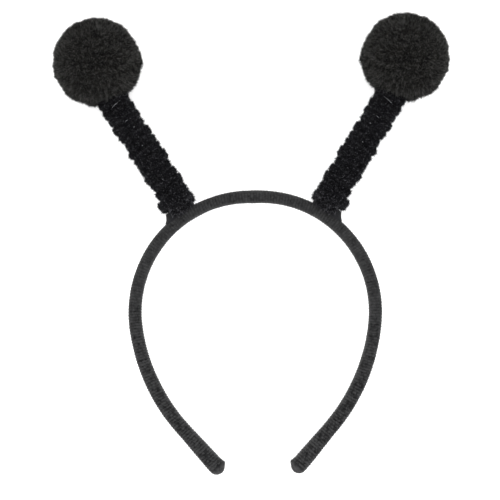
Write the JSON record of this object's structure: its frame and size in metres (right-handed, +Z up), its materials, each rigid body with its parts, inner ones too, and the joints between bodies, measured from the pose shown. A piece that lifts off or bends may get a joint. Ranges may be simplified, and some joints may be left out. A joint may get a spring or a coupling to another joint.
{
  "type": "antenna headband",
  "caption": "Costume headband: a springy cloth-covered hoop with two leaning chenille-wound stalks, each with a dense round pompom.",
  "frame": {"origin": "middle of the footprint, on the surface that the headband lies on", "axes": "+X across the hoop from one antenna to the other, +Y from the hoop's open end towards the pompoms, +Z up, which is the front of the headband as it lies on its back"},
  "size_m": [0.2032, 0.2352, 0.0451],
  "materials": {
    "ribbed_cloth": "matte ribbed charcoal cloth",
    "foot_cloth": "matte smooth charcoal cloth",
    "wire": "twisted bright steel wire",
    "chenille": "matte black chenille pile",
    "pompom_fibre": "matte charcoal short fibre"
  },
  "bodies": {
    "root": {"band": "ribbed_cloth", "foot_left": "foot_cloth", "foot_right": "foot_cloth", "stalk_core_left": "wire", "stalk_core_right": "wire", "chenille_left": "chenille", "chenille_right": "chenille", "pompom_left": "pompom_fibre", "pompom_right": "pompom_fibre"}
  },
  "joints": []
}
